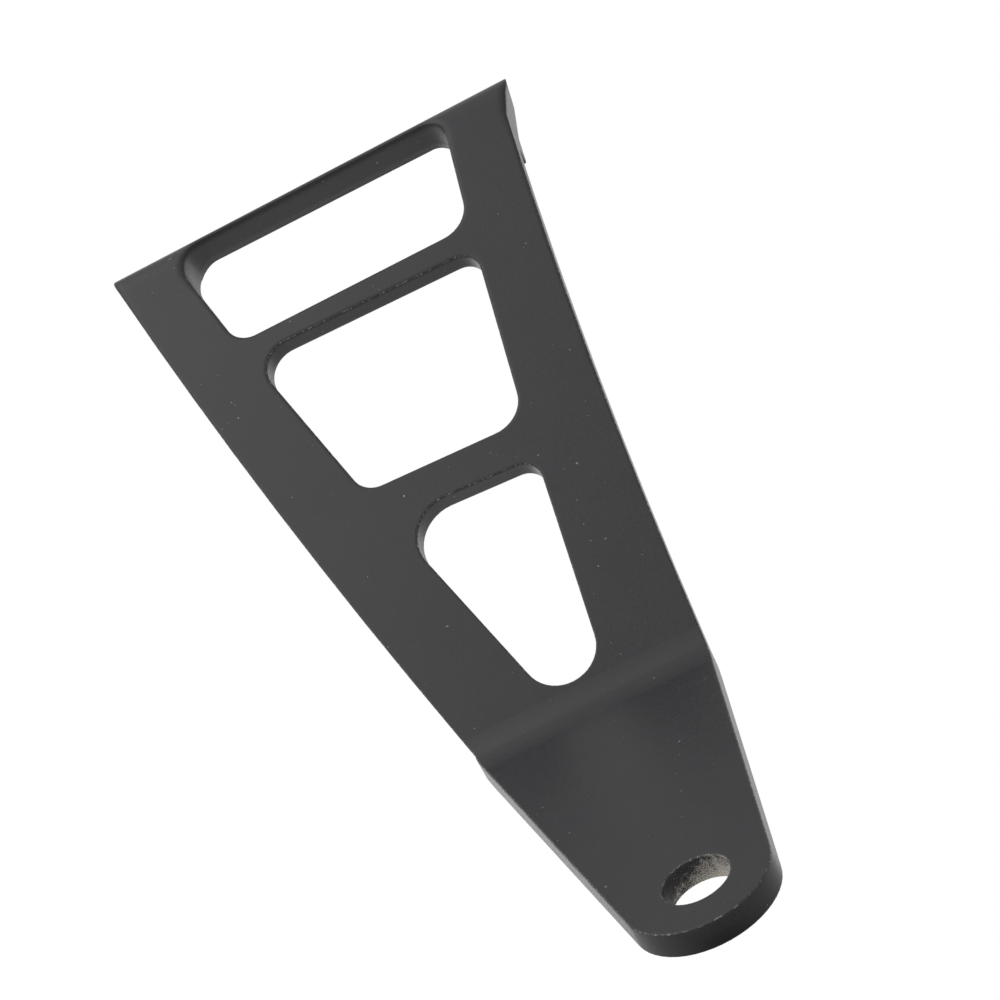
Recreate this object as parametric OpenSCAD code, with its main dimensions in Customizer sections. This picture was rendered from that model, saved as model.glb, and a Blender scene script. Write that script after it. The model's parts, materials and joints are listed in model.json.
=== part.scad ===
// Hanger bracket for a motorbike exhaust: one tapering plate, cut with three
// windows, with a thick rounded head along its top and a drilled foot bent forward.
// Sizes in millimetres. The web stands upright in XZ with its front towards -Y.
// The origin is the middle of the foot's hole.

/* [Plate] */
// Thickness of the plate
plate_t = 4; // [3:0.5:5]
// Inside radius of the foot bend
bend_r = 12; // [3:0.5:12.5]
// Height of the web, from the foot bend to the top of the head
web_h = 114.9; // [112:0.1:125]
// Width of the plate at the foot bend
waist_w = 40; // [36:1:44]
// Width of the plate at the top
top_w = 76.9; // [72:0.1:84]
// How far the middle of the top sits to the left of the middle of the waist
top_lean = 8.8; // [4:0.1:12]
// How far both long edges bow to the left, halfway up
edge_bow = 1.4; // [0.6:0.05:2]
// How far the top right corner flares out
ear_flare = 1.1; // [0.2:0.1:2]
// Height over which it flares
ear_h = 9; // [6:0.5:14]
// Radius of the two top corners, seen from the front
ear_r = 2; // [0.5:0.1:3]

/* [Head] */
// Depth of the thick head along the top, rounded over its full depth
head_t = 8.8; // [7:0.1:11]
// Height of the head
head_h = 14; // [10:0.5:18]
// Rise of the head to the right, in degrees
head_rise = 0.4; // [0:0.1:1]

/* [Windows] */
// Width between the windows' sides, carried down to the foot bend
window_waist_w = 7.9; // [6:0.1:9]
// Width between the windows' sides, carried up to the top
window_top_w = 55; // [50:0.2:57]
// Radius of the windows' upper left corners
high_left_r = 5.2; // [3:0.1:6]
// Radius of the windows' upper right corners
high_right_r = 3.6; // [3:0.1:5.5]
// Radius of the windows' lower left corners
low_left_r = 4.3; // [3:0.1:6]
// Radius of the windows' lower right corners
low_right_r = 5.8; // [3:0.1:6.5]
// Height of the top window's upper edge
top_window_high = 112.5; // [110:0.1:113.5]
// Height of the top window's lower edge
top_window_low = 89.3; // [87:0.1:92]
// Height of the middle window's upper edge
mid_window_high = 84.9; // [80:0.1:85.5]
// Fall of that edge to the right, in degrees
mid_high_fall = 1.4; // [0:0.1:3]
// Height of the middle window's lower edge
mid_window_low = 50.9; // [49:0.1:56]
// Fall of that edge to the right, in degrees
mid_low_fall = 2.6; // [0:0.1:4]
// Height of the lower window's upper edge
low_window_high = 43.9; // [38:0.1:46]
// Fall of that edge to the right, in degrees
low_high_fall = 3.7; // [0:0.1:5]
// Height of the middle of the lower window's rounded end
low_window_end = 11.1; // [9:0.1:16]
// Radius of that end
low_window_r = 6.1; // [5:0.1:6.5]
// Radius of the lower window's upper left corner
drop_left_r = 7; // [4:0.1:8]

/* [Foot] */
// Angle by which the foot is bent forward
foot_angle = 39.8; // [20:0.2:45]
// Distance from the foot bend to the hole
foot_l = 58.9; // [50:0.1:66]
// How far the hole sits to the right of the middle of the waist
foot_shift = 6.2; // [2:0.1:9]
// Radius of the foot's rounded end
foot_r = 11; // [9.5:0.1:13]
// Diameter of the hole
hole_d = 10; // [6.5:0.1:11]

/* [Hidden] */
$fn = 96;

finish = [0.26, 0.26, 0.27];
// Heights above and below the bend's sharp corner at which the sides start to run out
// and in; between them the plate is as wide as the waist
run_out = 0.6;
run_in = 0.4;
// Corner arcs are drawn this much too large, so that they cross the straight sides
// cleanly instead of just touching them
swell = 0.003;
head_r = head_t / 2;
hole = [foot_shift, -foot_l];
// Fineness of the long, shallow edge arcs
arc_fn = 720;

// Middle of the plate at a height, and half the windows' width there
function middle(z) =
    -top_lean * z / web_h - 4 * edge_bow * z * (web_h - z) / web_h ^ 2;
function window_half(z) =
    (window_waist_w + (window_top_w - window_waist_w) * z / web_h) / 2;
function left_of(z) = [middle(z) - window_half(z), z];
function right_of(z) = [middle(z) + window_half(z), z];

function unit(v) = v / norm(v);
function rotated(v, a) = [v.x * cos(a) - v.y * sin(a), v.x * sin(a) + v.y * cos(a)];

// Touching point on a circle, of the tangent from point p; side is 1 or -1
function touch(p, centre, r, side) =
    centre + r * rotated(unit(p - centre), side * acos(r / norm(p - centre)));

// Half the angle at vertex b of the corner a-b-c
function half_angle(a, b, c) = acos(unit(a - b) * unit(c - b)) / 2;

// Centre and radius of the arc through p and q that bows to the left by sag
function arc_radius(p, q, sag) = (norm(q - p) ^ 2 / 4 + sag ^ 2) / (2 * sag);
function arc_centre(p, q, sag) =
    (p + q) / 2 + rotated(unit(q - p), -90) * (arc_radius(p, q, sag) - sag);

// Convex outline with its corners rounded, each to its own radius
module rounded(points, radii) {
    n = len(points);
    corners = [for (i = [0 : n - 1])
        let (a = points[(i + n - 1) % n], b = points[i], c = points[(i + 1) % n],
             h = half_angle(a, b, c), r = radii[i])
        [b + unit(a - b) * r / tan(h), b + unit(c - b) * r / tan(h),
         b + unit(unit(a - b) + unit(c - b)) * r / sin(h), r]];
    polygon([for (k = corners) each [k[0], k[1]]]);
    for (k = corners) translate(k[2]) circle(k[3] + swell);
}

// A drop: two points above, and tangents down to a round end
module drop(left, right, centre, r) {
    polygon([left, right, touch(right, centre, r, -1), touch(left, centre, r, 1)]);
    translate(centre) circle(r + swell);
}

// What rounding to radius r takes off corner b of the outline a-b-c
module corner_waste(a, b, c, r) {
    h = half_angle(a, b, c);
    p = b + unit(a - b) * r / tan(h);
    q = b + unit(c - b) * r / tan(h);
    away = unit(b - (p + q) / 2) * 2;
    difference() {
        polygon([p, p + away, b + away, q + away, q]);
        translate(b + unit(unit(a - b) + unit(c - b)) * r / sin(h)) circle(r + swell);
    }
}

// Corners of a window edge that falls to the right by an angle
function edge_ends(z, fall) =
    [left_of(z - middle_drop(z, fall, -1)), right_of(z - middle_drop(z, fall, 1))];
function middle_drop(z, fall, side) = (middle(z) + side * window_half(z)) * tan(fall);

// A window between two edges that each fall to the right
module slanted_window(low, high) {
    rounded([low[0], low[1], high[1], high[0]],
            [low_left_r, low_right_r, high_right_r, high_left_r]);
}

module low_window() {
    high = edge_ends(low_window_high, low_high_fall);
    centre = [middle(low_window_end), low_window_end];
    left_end = touch(high[0], centre, low_window_r, 1);
    right_end = touch(high[1], centre, low_window_r, -1);
    difference() {
        drop(high[0], high[1], centre, low_window_r);
        corner_waste(high[1], high[0], left_end, drop_left_r);
        corner_waste(high[0], high[1], right_end, high_right_r);
    }
}

module windows() {
    slanted_window(edge_ends(top_window_low, 0), edge_ends(top_window_high, 0));
    slanted_window(edge_ends(mid_window_low, mid_low_fall),
                   edge_ends(mid_window_high, mid_high_fall));
    low_window();
}

// The front view of the web and the head, without the windows
module web_outline() {
    left_low = [-waist_w / 2, run_out];
    left_high = [-top_lean - top_w / 2, web_h];
    right_low = [waist_w / 2, run_out];
    right_high = [-top_lean + top_w / 2, web_h];
    ear = [right_high.x + ear_flare, web_h];
    difference() {
        union() {
            difference() {
                intersection() {
                    translate([-top_w, run_out - 0.2]) square([2 * top_w, web_h + 3]);
                    translate(arc_centre(left_low, left_high, edge_bow))
                        circle(arc_radius(left_low, left_high, edge_bow), $fn = arc_fn);
                }
                translate(arc_centre(right_low, right_high, edge_bow))
                    circle(arc_radius(right_low, right_high, edge_bow), $fn = arc_fn);
            }
            translate([-waist_w / 2, -waist_w]) square([waist_w, waist_w + 2]);
            polygon([[0, web_h - 3 * ear_h], ear_foot(), ear, ear + [0, 4], [0, web_h + 4]]);
        }
        corner_waste([0, web_h], left_high, left_high + [9, -30], ear_r);
        corner_waste([0, web_h], ear, ear_foot(), ear_r);
        translate([-2 * top_w, web_h]) square([4 * top_w, 8]);
    }
}

// Where the right ear starts to flare, a little inside the plate's edge
function ear_foot() =
    [middle(web_h - ear_h) + (waist_w + (top_w - waist_w) * (1 - ear_h / web_h)) / 2 - 0.1,
     web_h - ear_h];

// From the foot's own depth and height, before it is bent, to those of the web
function swung(y, z) = rotated([y, z], -foot_angle);

// Side view of everything in front of the plane at depth y, which turns into the
// foot's direction with a corner of radius r
module in_front(y, r, high, low) {
    corner = [y, -y * tan(foot_angle / 2)];
    difference() {
        polygon([[y, high], corner, swung(y, -low), swung(-low, -low), [-low, high]]);
        corner_waste([y, high], corner, swung(y, -low), r);
    }
}

// The plate in side view, as depth and height, from inside the head down to the foot
module plate_side_view() {
    high = web_h - head_h + 3;
    low = foot_l + foot_r + 2;
    difference() {
        in_front(plate_t, bend_r + plate_t, high, low);
        in_front(0, bend_r, high + 1, low + 1);
    }
}

module head_side_view() {
    translate([0, -head_h]) square([head_t, head_h - head_r]);
    translate([head_r, -head_r]) circle(head_r);
}

// Runs a side view across the whole width
module across() {
    translate([-top_w, 0, 0]) rotate([90, 0, 90]) linear_extrude(2 * top_w) children();
}

// Stands a front view up in XZ, from its front at one depth back to another
module upright(front, back) {
    translate([0, back, 0]) rotate([90, 0, 0]) linear_extrude(back - front) children();
}

// What is cut off around the web and the head, and out of the windows
module web_waste() {
    difference() {
        translate([-2 * top_w, -foot_r]) square([4 * top_w, web_h + 2 * foot_r]);
        web_outline();
    }
    windows();
}

// Side of the foot: a tangent to its round end, run on past the waist's corner
function foot_side(side) =
    let (corner = [side * waist_w / 2, -run_in],
         end = touch(corner, hole, foot_r, -side))
    [end, corner + unit(corner - end) * 4];

// What is cut off around the foot, and for its hole
module foot_waste() {
    low = foot_l + foot_r + 4;
    left = foot_side(-1);
    right = foot_side(1);
    difference() {
        translate([-2 * top_w, -low]) square([4 * top_w, low - run_in + 0.2]);
        polygon([left[1], left[0], right[0], right[1]]);
        translate(hole) circle(foot_r + swell);
    }
    translate(hole) circle(d = hole_d);
}

// The bent plate with its head, cut to both outlines
module bent_plate() {
    difference() {
        union() {
            across() plate_side_view();
            translate([-top_lean, 0, web_h]) rotate([0, -head_rise, 0])
                across() head_side_view();
        }
        upright(-2 * foot_r, head_t + 2) web_waste();
        rotate([-foot_angle, 0, 0]) upright(-3, plate_t + 3) foot_waste();
    }
}

module hanger_bracket() {
    color(finish)
        translate([-hole.x, 0, 0])
        translate([0, foot_l * sin(foot_angle), foot_l * cos(foot_angle)])
        translate([0, -plate_t / 2 * cos(foot_angle), plate_t / 2 * sin(foot_angle)])
        bent_plate();
}

hanger_bracket();
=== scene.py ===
"""Looks for a powder-coated exhaust hanger bracket, in the frame of its CAD model."""

import json
import math

import bmesh
import bpy
from bpy.props import FloatProperty, FloatVectorProperty, IntProperty, PointerProperty
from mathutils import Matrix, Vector


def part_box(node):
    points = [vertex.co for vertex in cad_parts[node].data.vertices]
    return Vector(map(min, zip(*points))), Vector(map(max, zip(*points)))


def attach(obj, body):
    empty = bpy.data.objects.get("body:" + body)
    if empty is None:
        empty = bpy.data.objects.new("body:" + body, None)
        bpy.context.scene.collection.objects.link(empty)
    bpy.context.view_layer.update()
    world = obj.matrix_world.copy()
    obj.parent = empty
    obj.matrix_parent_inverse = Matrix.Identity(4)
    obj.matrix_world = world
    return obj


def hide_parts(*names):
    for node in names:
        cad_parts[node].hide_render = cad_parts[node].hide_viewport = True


bl_info = {
    "name": "Exhaust hanger bracket",
    "version": (1, 0, 0),
    "blender": (4, 5, 0),
    "location": "3D View > Sidebar > Bracket",
    "description": "Dresses the bent plate in its worn powder coat and sets the studio",
    "category": "Object",
}

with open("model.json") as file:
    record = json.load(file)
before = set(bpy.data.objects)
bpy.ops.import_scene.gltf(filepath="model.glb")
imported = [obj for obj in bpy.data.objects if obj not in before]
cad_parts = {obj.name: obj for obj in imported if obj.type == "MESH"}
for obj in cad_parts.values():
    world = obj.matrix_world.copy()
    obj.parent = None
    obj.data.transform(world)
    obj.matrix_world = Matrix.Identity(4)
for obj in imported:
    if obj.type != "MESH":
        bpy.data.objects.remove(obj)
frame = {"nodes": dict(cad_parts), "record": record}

NODE = "hanger_bracket"
MM = 0.001
# The foot's hole: its middle is the origin, and this is the way its axis points
HOLE_AXIS = Vector(frame["record"]["mounts"][0]["axis"]).normalized()
HOLE_RADIUS = frame["record"]["mounts"][0]["dims"]["r_mm"] * MM
FOOT_TILT = math.atan2(HOLE_AXIS.z, -HOLE_AXIS.y)
# Heights of the bend's top, of the head's lower end, and of the start of the head's
# rounding, above which the edges stay as the CAD has them
WAIST_HEIGHT = 46.5 * MM
HEAD_HEIGHT = 147.4 * MM
EAR_HEIGHT = 156.9 * MM

# The left ear's tip has a tiny step in the CAD. It lies beyond this side, between these
# heights and at these two depths, beside the first points of the corner's arc.
STEP_SIDE = -52.6 * MM
STEP_HEIGHTS = (158.8 * MM, 159.12 * MM)
STEP_DEPTHS = ((36.6 * MM, 37.0 * MM), (44.2 * MM, 44.45 * MM))
ARC_START = (-52.75 * MM, -52.71 * MM)
# Where the step is drawn together, and how far the corner above it moves out
LEFT_TIP = (-52.94 * MM, 158.8 * MM)
CORNER_HEIGHT = 158.95 * MM
CORNER_REACH = (52.0 * MM, 52.7 * MM)
CORNER_SHIFT = 0.2 * MM
# How far the right ear's tip is drawn out, and the stretches over which that fades in
EAR_SHIFT = 1.2 * MM
EAR_RISE = (152.0 * MM, 160.5 * MM)
EAR_REACH = (16.0 * MM, 22.0 * MM)
EAR_DEPTH = (-45.0 * MM, -41.0 * MM)

# Edges that turn by more than this are rounded, and faces that turn by less are one
SHARP_TURN = math.radians(35)
FLAT_TURN = math.radians(0.05)
WELD = 0.001 * MM

# Features per metre of the coat's noises
CLOUDS = 90.0
PATCHES = 160.0
STREAKS = 1100.0
SPECKS = 1500.0
EDGE_CHIPS = 1800.0
STEEL_GRAINS = 7500.0

# Floor, lights and camera
FLOOR_HALF = 1.5
FLOOR_GAP = 0.2 * MM
KEY_PLACE = (-0.40, -0.45, 0.50)
KEY_SIZE = 0.8
RIM_SIDE = 0.28
RIM_BACK = 0.5
RIM_HEIGHT = 0.28
RIM_SIZE = 0.3
CAMERA_PLACE = (0.02608, -0.33477, -0.11045)
CAMERA_TURN = (120.040, 21.363, 16.874)


# Sizes and colours


class PlateProperties(bpy.types.PropertyGroup):
    """How the punched and coated plate's edges are softened"""

    edge_radius: FloatProperty(
        name="Edge radius",
        description="Radius that punching leaves along the edges",
        default=0.22 * MM,
        min=0.05 * MM,
        max=0.4 * MM,
        precision=5,
        subtype="DISTANCE",
        unit="LENGTH",
    )
    edge_steps: IntProperty(
        name="Edge steps",
        description="Faces across each rounded edge",
        default=3,
        min=1,
        max=6,
    )


class CoatProperties(bpy.types.PropertyGroup):
    """Colours and grain of the powder coat and of the metal under it"""

    coat_colour: FloatVectorProperty(
        name="Coat",
        description="Colour of the satin black powder coat",
        default=(0.0098, 0.0098, 0.0118),
        min=0.0,
        max=1.0,
        subtype="COLOR",
    )
    dust_colour: FloatVectorProperty(
        name="Dust",
        description="Colour of the fine specks and rubbed places on the coat",
        default=(0.22, 0.215, 0.21),
        min=0.0,
        max=1.0,
        subtype="COLOR",
    )
    coat_softening: FloatProperty(
        name="Coat softening",
        description="How far the thick coat rounds the look of the windows' edges",
        default=1.1 * MM,
        min=0.1 * MM,
        max=1.5 * MM,
        precision=5,
        subtype="DISTANCE",
        unit="LENGTH",
    )
    metal_colour: FloatVectorProperty(
        name="Bare steel",
        description="Colour of the steel where the coat is worn off",
        default=(0.60, 0.56, 0.50),
        min=0.0,
        max=1.0,
        subtype="COLOR",
    )
    grain_size: FloatProperty(
        name="Grain size",
        description="Size of the powder coat's orange-peel grain",
        default=0.45 * MM,
        min=0.1 * MM,
        max=2.0 * MM,
        precision=5,
        subtype="DISTANCE",
        unit="LENGTH",
    )
    grain_depth: FloatProperty(
        name="Grain depth",
        description="Depth of the powder coat's grain",
        default=0.02 * MM,
        min=0.0,
        max=0.1 * MM,
        precision=6,
        subtype="DISTANCE",
        unit="LENGTH",
    )


class StudioProperties(bpy.types.PropertyGroup):
    """Floor, lights and camera"""

    floor_colour: FloatVectorProperty(
        name="Floor",
        description="Colour of the floor",
        default=(0.82, 0.82, 0.82),
        min=0.0,
        max=1.0,
        subtype="COLOR",
    )
    sky_strength: FloatProperty(
        name="Room light",
        description="Strength of the even light from all round",
        default=0.75,
        min=0.0,
        max=2.0,
    )
    key_power: FloatProperty(
        name="Key light",
        description="Power of the large soft light above and to the left",
        default=4.2,
        min=0.0,
        max=50.0,
        subtype="POWER",
        unit="POWER",
    )
    rim_power: FloatProperty(
        name="Rim lights",
        description="Power of each of the two soft lights behind the plate",
        default=0.3,
        min=0.0,
        max=20.0,
        subtype="POWER",
        unit="POWER",
    )
    lens: FloatProperty(
        name="Lens",
        description="Focal length on a 36 mm wide sensor, in millimetres",
        default=93.6,
        min=20.0,
        max=300.0,
    )


# Node helpers


def add_node(tree, kind, at, **settings):
    """A node of that kind at a place in the editor, with its settings and inputs."""
    made = tree.nodes.new(kind)
    made.location = at
    for key, value in settings.items():
        if key in made.inputs:
            made.inputs[key].default_value = value
        else:
            setattr(made, key.replace(" ", "_").lower(), value)
    return made


def noise(tree, at, where, scale, detail=4.0, roughness=0.6):
    """A noise pattern over the plate, with features about 1/scale metres apart."""
    made = add_node(tree, "ShaderNodeTexNoise", at, Scale=scale, Detail=detail)
    made.inputs["Roughness"].default_value = roughness
    tree.links.new(where, made.inputs["Vector"])
    return made.outputs["Fac"]


def spread(tree, at, value, low, high, to_low=0.0, to_high=1.0):
    """Stretches a value from low..high to to_low..to_high, smoothly and clamped."""
    made = add_node(tree, "ShaderNodeMapRange", at)
    made.interpolation_type = "SMOOTHSTEP"
    for socket, number in (
        ("From Min", low),
        ("From Max", high),
        ("To Min", to_low),
        ("To Max", to_high),
    ):
        made.inputs[socket].default_value = number
    tree.links.new(value, made.inputs["Value"])
    return made.outputs["Result"]


def combine(tree, at, operation, first, second, clamp=False):
    """One sum on two values, each a socket or a number."""
    made = add_node(tree, "ShaderNodeMath", at)
    made.operation = operation
    made.use_clamp = clamp
    for socket, value in zip(made.inputs, (first, second)):
        if isinstance(value, (int, float)):
            socket.default_value = value
        else:
            tree.links.new(value, socket)
    return made.outputs[0]


def blend_colour(tree, at, share, first, second):
    """Colour that goes from first to second as share goes from 0 to 1."""
    made = add_node(tree, "ShaderNodeMix", at)
    made.data_type = "RGBA"
    for socket, value in ((made.inputs[6], first), (made.inputs[7], second)):
        if isinstance(value, bpy.types.NodeSocket):
            tree.links.new(value, socket)
        else:
            socket.default_value = (*value, 1.0)
    tree.links.new(share, made.inputs[0])
    return made.outputs[2]


# The coat


def hole_coordinates(tree, at, place):
    """Distance from the hole's axis, place to the right of it, and place along it."""
    turned = add_node(tree, "ShaderNodeMapping", at)
    turned.vector_type = "POINT"
    turned.inputs["Rotation"].default_value = (FOOT_TILT - math.pi / 2, 0, 0)
    tree.links.new(place, turned.inputs["Vector"])
    apart = add_node(tree, "ShaderNodeSeparateXYZ", (at[0] + 180, at[1]))
    tree.links.new(turned.outputs[0], apart.inputs[0])
    squares = [
        combine(tree, (at[0] + 360, at[1] - 60 * i), "POWER", apart.outputs[i], 2.0)
        for i in (0, 1)
    ]
    total = combine(tree, (at[0] + 540, at[1]), "ADD", *squares)
    radius = combine(tree, (at[0] + 720, at[1]), "SQRT", total, 0.0)
    return radius, apart.outputs[0], apart.outputs[2]


def steel_in_hole(tree, place):
    """How bare the steel is in and around the hole (more on the right, partly painted
    light), the hole's wall, and its grains.
    """
    radius, across, depth = hole_coordinates(tree, (-2600, -700), place)
    wall = spread(tree, (-1100, -500), radius, HOLE_RADIUS * 1.02, HOLE_RADIUS * 1.008)
    rim = spread(tree, (-1100, -700), radius, HOLE_RADIUS * 1.1, HOLE_RADIUS * 1.03)
    grains = noise(tree, (-1700, -900), place, STEEL_GRAINS, 3.0, 0.7)
    streaks = noise(tree, (-1700, -1100), place, STREAKS, 3.0, 0.6)

    # Bare steel on the right and at the back of the wall, where the bolt rubbed, and also
    # painted light from the right; the coat stays at the upper left, towards the front
    rubbed = combine(
        tree,
        (-1500, -600),
        "SUBTRACT",
        combine(tree, (-1700, -600), "MULTIPLY", across, 0.14 / HOLE_RADIUS),
        combine(tree, (-1700, -750), "MULTIPLY", depth, 65.0),
    )
    patchy = combine(
        tree,
        (-1300, -1000),
        "ADD",
        combine(tree, (-1500, -1000), "MULTIPLY", streaks, 0.4),
        combine(tree, (-1500, -850), "MULTIPLY", grains, 0.9),
    )
    rub_and_painted_light = combine(tree, (-1300, -850), "ADD", rubbed, patchy)
    # The wall's bare steel, with the painted light from the right side in it
    bare = combine(
        tree,
        (-700, -500),
        "MULTIPLY",
        wall,
        spread(tree, (-1100, -900), rub_and_painted_light, 0.58, 0.84),
    )
    chips = combine(
        tree,
        (-700, -700),
        "MULTIPLY",
        rim,
        spread(tree, (-1100, -1100), grains, 0.63, 0.69),
    )
    return combine(tree, (-500, -600), "MAXIMUM", bare, chips, clamp=True), wall, grains


def powder_coat(sizes):
    """Satin black powder coat with fine grain and specks, worn to the steel in the hole,
    whose right side also carries painted light.
    """
    material = bpy.data.materials.new("worn_powder_coat")
    material.use_nodes = True
    tree = material.node_tree
    shader = tree.nodes["Principled BSDF"]
    place = add_node(tree, "ShaderNodeTexCoord", (-2800, 0)).outputs["Object"]

    # Clouds of slightly lighter and darker coat, its fine grain, and rare light specks
    clouds = noise(tree, (-1700, 600), place, CLOUDS, 5.0, 0.65)
    grain = noise(tree, (-1700, 400), place, 1.0 / sizes.grain_size, 3.0, 0.7)
    specks = noise(tree, (-1700, 200), place, SPECKS, 1.0, 0.5)
    patches = noise(tree, (-1700, 0), place, PATCHES, 2.0, 0.5)
    tint = combine(
        tree,
        (-900, 500),
        "ADD",
        spread(tree, (-1200, 600), clouds, 0.25, 0.8, 0.0, 0.012),
        spread(tree, (-1200, 400), grain, 0.35, 0.75, 0.0, 0.03),
    )
    light_specks = combine(
        tree,
        (-900, 200),
        "MULTIPLY",
        spread(tree, (-1200, 200), specks, 0.765, 0.80),
        spread(tree, (-1200, 0), patches, 0.45, 0.6, 0.1, 0.8),
    )

    # Along the rounded edges the coat is thin and chipped in tiny spots
    edge = add_node(tree, "ShaderNodeAttribute", (-1700, -200))
    edge.attribute_name = "edge_wear"
    edge_noise = noise(tree, (-1500, -300), place, EDGE_CHIPS, 4.0, 0.75)
    edge_chips = combine(
        tree,
        (-900, -100),
        "MULTIPLY",
        edge.outputs["Fac"],
        spread(tree, (-1200, -200), edge_noise, 0.52, 0.62, 0.02, 0.7),
    )

    # worn: bare steel in the hole, laid thicker on the right as painted light from that
    # side
    worn, wall, grains = steel_in_hole(tree, place)
    dusted = blend_colour(tree, (-500, 400), tint, sizes.coat_colour, sizes.dust_colour)
    marks = combine(tree, (-600, 100), "MAXIMUM", light_specks, edge_chips)
    specked = blend_colour(tree, (-300, 200), marks, dusted, sizes.dust_colour)
    dull = [0.4 * share for share in sizes.metal_colour]
    mottle = spread(tree, (-500, -300), grains, 0.38, 0.62)
    metal = blend_colour(tree, (-300, 0), mottle, dull, sizes.metal_colour)
    colour = blend_colour(tree, (-100, 100), worn, specked, metal)
    tree.links.new(colour, shader.inputs["Base Color"])
    tree.links.new(
        combine(tree, (-100, -200), "MULTIPLY", worn, 0.6), shader.inputs["Metallic"]
    )
    tree.links.new(
        spread(tree, (-300, -100), grain, 0.3, 0.75, 0.40, 0.50),
        shader.inputs["Roughness"],
    )
    shader.inputs["Specular IOR Level"].default_value = 0.32

    # Grain of the coat, and the pitted wall of the hole
    pits = combine(
        tree,
        (-700, -1200),
        "MULTIPLY",
        combine(tree, (-900, -1300), "MULTIPLY", wall, grains),
        3.0,
    )
    height = combine(tree, (-500, -1300), "ADD", grain, pits)
    bump = add_node(tree, "ShaderNodeBump", (-300, -1000))
    bump.inputs["Strength"].default_value = 1.0
    bump.inputs["Distance"].default_value = sizes.grain_depth
    tree.links.new(height, bump.inputs["Height"])
    apart = add_node(tree, "ShaderNodeSeparateXYZ", (-1300, -1500))
    tree.links.new(place, apart.inputs[0])
    on_web = spread(
        tree,
        (-1100, -1500),
        apart.outputs[2],
        WAIST_HEIGHT,
        HEAD_HEIGHT,
        sizes.coat_softening * 0.3,
        sizes.coat_softening,
    )
    on_head = spread(
        tree,
        (-1100, -1700),
        apart.outputs[2],
        HEAD_HEIGHT,
        EAR_HEIGHT,
        0.0,
        sizes.coat_softening,
    )
    softening = combine(tree, (-900, -1600), "ADD", on_web, on_head)
    soft = add_node(tree, "ShaderNodeBevel", (-500, -1100))
    soft.samples = 8
    tree.links.new(softening, soft.inputs["Radius"])
    tree.links.new(soft.outputs[0], bump.inputs["Normal"])
    tree.links.new(bump.outputs[0], shader.inputs["Normal"])
    return material


# The plate


def between(value, ends):
    """Whether a value lies between two ends."""
    return ends[0] < value < ends[1]


def ramp(value, ends):
    """How far a value has come from the first end to the second, from 0 to 1."""
    return min(1.0, max(0.0, (value - ends[0]) / (ends[1] - ends[0])))


def neat_ears(body):
    """Smooths the tiny step on the left ear's tip, and draws the right ear's tip out."""
    for depths in STEP_DEPTHS:
        step = [
            v
            for v in body.verts
            if between(v.co.y, depths)
            and between(v.co.z, STEP_HEIGHTS)
            and v.co.x < STEP_SIDE
            and not between(v.co.x, ARC_START)
        ]
        # Another meshing of the same solid may put no corners, or only one, in the step
        if len(step) > 1:
            middle = sum(v.co.y for v in step) / len(step)
            tip = (LEFT_TIP[0], middle, LEFT_TIP[1])
            bmesh.ops.pointmerge(body, verts=step, merge_co=tip)
    for v in body.verts:
        if v.co.z > CORNER_HEIGHT:
            v.co.x -= CORNER_SHIFT * ramp(-v.co.x, CORNER_REACH)
        fade = ramp(v.co.x, EAR_REACH) * ramp(-v.co.y, EAR_DEPTH)
        v.co.x += EAR_SHIFT * fade * ramp(v.co.z, EAR_RISE) ** 2


def softened_plate(sizes):
    """A copy of the CAD plate whose punched edges are rounded, as the real ones are."""
    mesh = bpy.data.meshes.new("bracket_plate")
    body = bmesh.new()
    body.from_mesh(frame["nodes"][NODE].data)
    bmesh.ops.remove_doubles(body, verts=body.verts, dist=WELD)
    neat_ears(body)
    bmesh.ops.dissolve_limit(
        body, angle_limit=FLAT_TURN, verts=body.verts, edges=body.edges
    )
    weight = body.edges.layers.float.new("bevel_weight_edge")
    for edge in body.edges:
        if edge.calc_face_angle(0) < SHARP_TURN:
            continue
        if max(v.co.z for v in edge.verts) < EAR_HEIGHT:
            edge[weight] = 1.0
        else:
            edge.smooth = False
    body.to_mesh(mesh)
    body.free()
    plate = bpy.data.objects.new("bracket_plate", mesh)
    bpy.context.scene.collection.objects.link(plate)
    mesh.materials.append(None)
    mesh.materials.append(None)
    rounding = plate.modifiers.new("rounded_edges", "BEVEL")
    rounding.width = sizes.edge_radius
    rounding.segments = sizes.edge_steps
    rounding.limit_method = "WEIGHT"
    rounding.use_clamp_overlap = False
    rounding.material = 1
    shading = plate.modifiers.new("even_shading", "WEIGHTED_NORMAL")
    shading.mode = "FACE_AREA_WITH_ANGLE"
    shading.weight = 100
    shading.keep_sharp = True
    return plate


def apply_modifiers(piece):
    """Makes what the modifiers show the piece's own mesh."""
    seen = piece.evaluated_get(bpy.context.evaluated_depsgraph_get())
    made = bpy.data.meshes.new_from_object(seen)
    piece.modifiers.clear()
    piece.data = made


def mark_edges(mesh):
    """Marks the middle of each rounded edge, where the coat wears first."""
    on_flat = [False] * len(mesh.vertices)
    for face in mesh.polygons:
        if face.material_index != 1:
            for index in face.vertices:
                on_flat[index] = True
        face.material_index = 0
    wear = mesh.attributes.new("edge_wear", "FLOAT", "POINT")
    for index, flat in enumerate(on_flat):
        wear.data[index].value = 0.0 if flat else 1.0


class BRACKET_OT_plate(bpy.types.Operator):
    """Make the bent plate with its rounded edges and worn powder coat"""

    bl_idname = "bracket.plate"
    bl_label = "Coated plate"

    def execute(self, context):
        sizes = context.scene.bracket_plate_sizes
        plate = softened_plate(sizes)
        apply_modifiers(plate)
        mark_edges(plate.data)
        plate.data.materials.clear()
        plate.data.materials.append(powder_coat(context.scene.bracket_coat))
        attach(plate, "root")
        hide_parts(NODE)
        return {"FINISHED"}


# The stage


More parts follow.
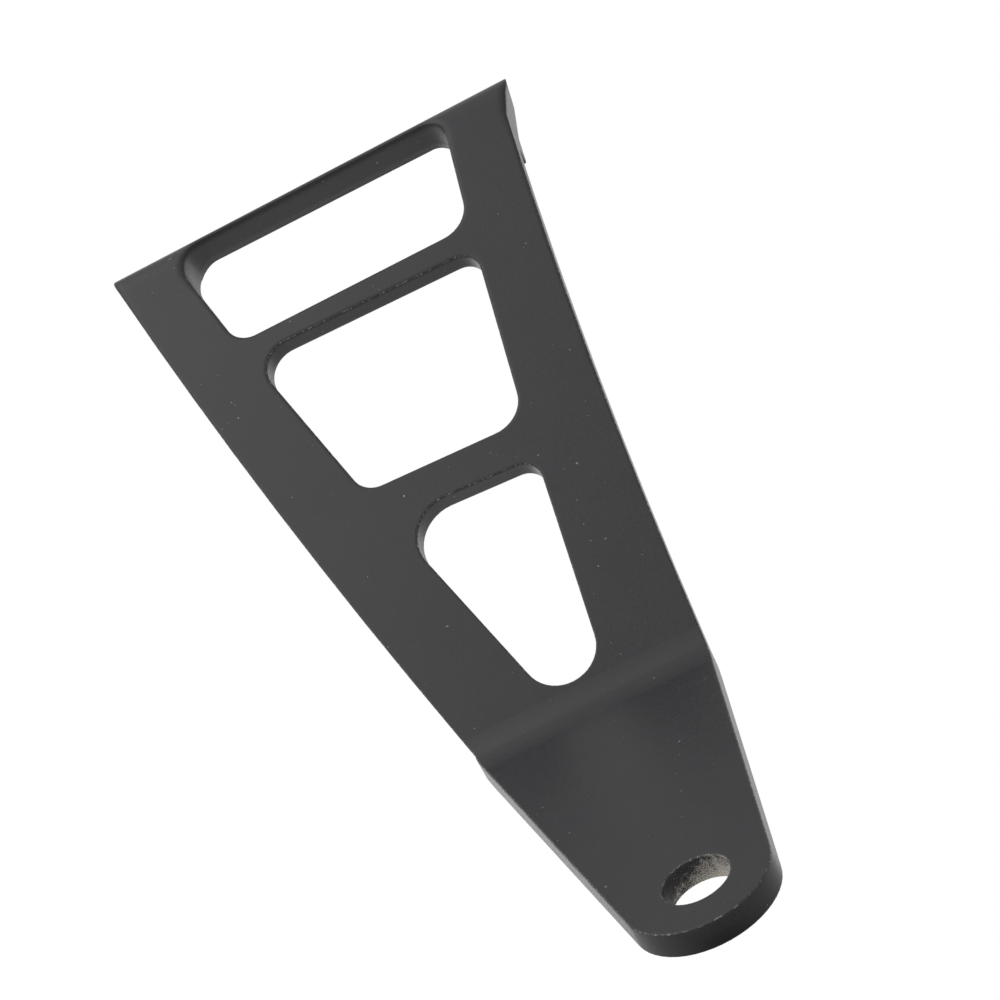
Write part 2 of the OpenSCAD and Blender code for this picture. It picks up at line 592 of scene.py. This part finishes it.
def pale_floor(colour, height):
    """A floor just under the foot. Its underside is open, since the camera looks up."""
    mesh = bpy.data.meshes.new("floor")
    corners = [(-1, -1), (1, -1), (1, 1), (-1, 1)]
    places = [(FLOOR_HALF * x, FLOOR_HALF * y, height) for x, y in corners]
    mesh.from_pydata(places, [], [(0, 1, 2, 3)])
    floor = bpy.data.objects.new("floor", mesh)
    bpy.context.scene.collection.objects.link(floor)
    material = bpy.data.materials.new("pale_floor")
    material.use_nodes = True
    tree = material.node_tree
    shader = tree.nodes["Principled BSDF"]
    shader.inputs["Base Color"].default_value = (*colour, 1.0)
    shader.inputs["Roughness"].default_value = 0.9
    shader.inputs["Specular IOR Level"].default_value = 0.1
    under = add_node(tree, "ShaderNodeNewGeometry", (-600, 300)).outputs["Backfacing"]
    clear = add_node(tree, "ShaderNodeBsdfTransparent", (-200, 200))
    mix = add_node(tree, "ShaderNodeMixShader", (100, 200))
    tree.links.new(under, mix.inputs[0])
    tree.links.new(shader.outputs[0], mix.inputs[1])
    tree.links.new(clear.outputs[0], mix.inputs[2])
    tree.links.new(mix.outputs[0], tree.nodes["Material Output"].inputs["Surface"])
    mesh.materials.append(material)


def white_room(strength):
    """Even room light, seen as plain white by the camera and in reflections."""
    world = bpy.data.worlds.new("white_room")
    bpy.context.scene.world = world
    world.use_nodes = True
    tree = world.node_tree
    background = tree.nodes["Background"]
    background.inputs["Color"].default_value = (1, 1, 1, 1)
    rays = add_node(tree, "ShaderNodeLightPath", (-700, 0)).outputs
    seen = combine(
        tree, (-500, 0), "MAXIMUM", rays["Is Camera Ray"], rays["Is Glossy Ray"]
    )
    seen = combine(tree, (-350, 0), "MAXIMUM", seen, rays["Is Transmission Ray"])
    level = add_node(tree, "ShaderNodeMapRange", (-200, 0))
    level.inputs["To Min"].default_value = strength
    level.inputs["To Max"].default_value = 1.0
    tree.links.new(seen, level.inputs["Value"])
    tree.links.new(level.outputs[0], background.inputs["Strength"])


def soft_light(name, location, target, size, power):
    """A large square light aimed at a point."""
    data = bpy.data.lights.new(name, "AREA")
    data.size = size
    data.energy = power
    lamp = bpy.data.objects.new(name, data)
    lamp.location = location
    aim = Vector(target) - Vector(location)
    lamp.rotation_euler = aim.to_track_quat("-Z", "Y").to_euler()
    bpy.context.scene.collection.objects.link(lamp)


def photo_camera(lens):
    """The camera, below the foot and in front of the plate, looking up along it."""
    data = bpy.data.cameras.new("camera")
    data.lens = lens
    data.sensor_width = 36.0
    data.clip_start = 0.01
    data.clip_end = 20.0
    camera = bpy.data.objects.new("camera", data)
    camera.location = CAMERA_PLACE
    camera.rotation_euler = [math.radians(a) for a in CAMERA_TURN]
    bpy.context.scene.collection.objects.link(camera)
    bpy.context.scene.camera = camera


class BRACKET_OT_stage(bpy.types.Operator):
    """Set the pale floor, the white room, the soft lights and the camera"""

    bl_idname = "bracket.stage"
    bl_label = "Floor, lights and camera"

    def execute(self, context):
        studio = context.scene.bracket_studio
        low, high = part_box(NODE)
        middle = (low + high) / 2
        photo_camera(studio.lens)
        white_room(studio.sky_strength)
        pale_floor(studio.floor_colour, low.z - FLOOR_GAP)
        soft_light("key", KEY_PLACE, middle, KEY_SIZE, studio.key_power)
        for name, side in (("rim_left", -1), ("rim_right", 1)):
            place = (side * RIM_SIDE, RIM_BACK, RIM_HEIGHT)
            soft_light(name, place, (0, 0, 0), RIM_SIZE, studio.rim_power)
        context.scene.view_settings.view_transform = "Standard"
        return {"FINISHED"}


# Panel and set-up


class BRACKET_PT_panel(bpy.types.Panel):
    """Sizes, colours and buttons of the bracket"""

    bl_label = "Hanger bracket"
    bl_idname = "BRACKET_PT_panel"
    bl_space_type = "VIEW_3D"
    bl_region_type = "UI"
    bl_category = "Bracket"

    def draw(self, context):
        layout = self.layout
        scene = context.scene
        for label, group, operator in (
            ("Plate", scene.bracket_plate_sizes, BRACKET_OT_plate),
            ("Coat", scene.bracket_coat, None),
            ("Studio", scene.bracket_studio, BRACKET_OT_stage),
        ):
            box = layout.box()
            box.label(text=label)
            for name in group.__annotations__:
                box.prop(group, name)
            if operator:
                box.operator(operator.bl_idname)


CLASSES = (
    PlateProperties,
    CoatProperties,
    StudioProperties,
    BRACKET_OT_plate,
    BRACKET_OT_stage,
    BRACKET_PT_panel,
)


def register():
    for cls in CLASSES:
        bpy.utils.register_class(cls)
    bpy.types.Scene.bracket_plate_sizes = PointerProperty(type=PlateProperties)
    bpy.types.Scene.bracket_coat = PointerProperty(type=CoatProperties)
    bpy.types.Scene.bracket_studio = PointerProperty(type=StudioProperties)


def unregister():
    del bpy.types.Scene.bracket_studio
    del bpy.types.Scene.bracket_coat
    del bpy.types.Scene.bracket_plate_sizes
    for cls in reversed(CLASSES):
        bpy.utils.unregister_class(cls)


def main():
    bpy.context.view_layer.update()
    register()
    bpy.ops.bracket.plate()
    bpy.ops.bracket.stage()


if __name__ == "__main__":
    main()
